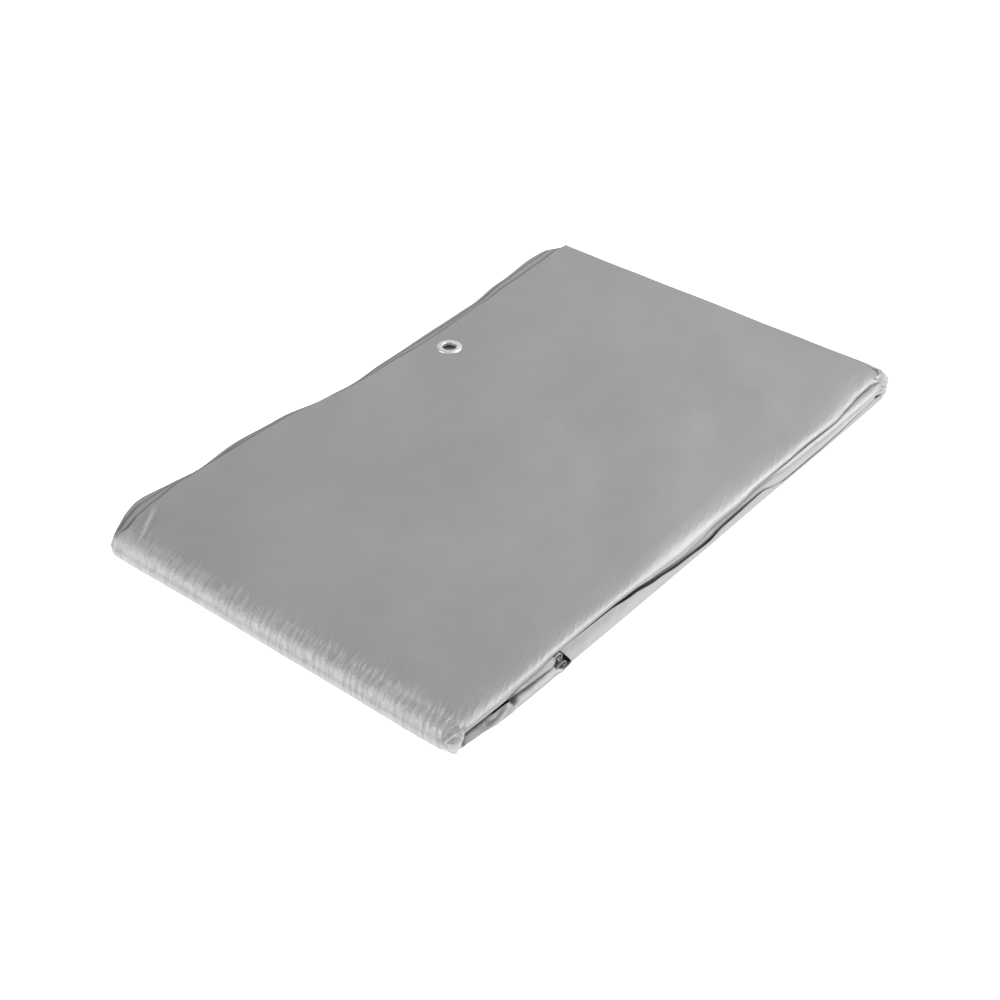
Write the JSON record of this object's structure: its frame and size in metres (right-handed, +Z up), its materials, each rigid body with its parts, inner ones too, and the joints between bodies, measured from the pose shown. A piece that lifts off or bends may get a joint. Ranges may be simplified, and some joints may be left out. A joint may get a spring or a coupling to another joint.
{
  "type": "folded tarp",
  "caption": "Silver woven plastic tarp folded into a flat packet, with rounded folds at one end, hemmed edges along the back and a metal eyelet in the top hem.",
  "frame": {"origin": "bottom centre of the folded packet's box, on the surface that it rests on", "axes": "+X along the packet's long side, from the rounded folds towards the end with the small folds and the strip's ends; +Y across it, from the side with the folded lip towards the hems; +Z up"},
  "size_m": [0.622, 0.3972, 0.0225],
  "materials": {
    "silver_sheet": "woven plastic sheet with a silver-grey coating, semi-gloss",
    "silver_hem": "the same sheet, doubled, semi-gloss",
    "bright_zinc": "polished"
  },
  "bodies": {
    "root": {"tarp": "silver_sheet", "hem_strip": "silver_hem", "eyelet": "bright_zinc"}
  },
  "joints": []
}
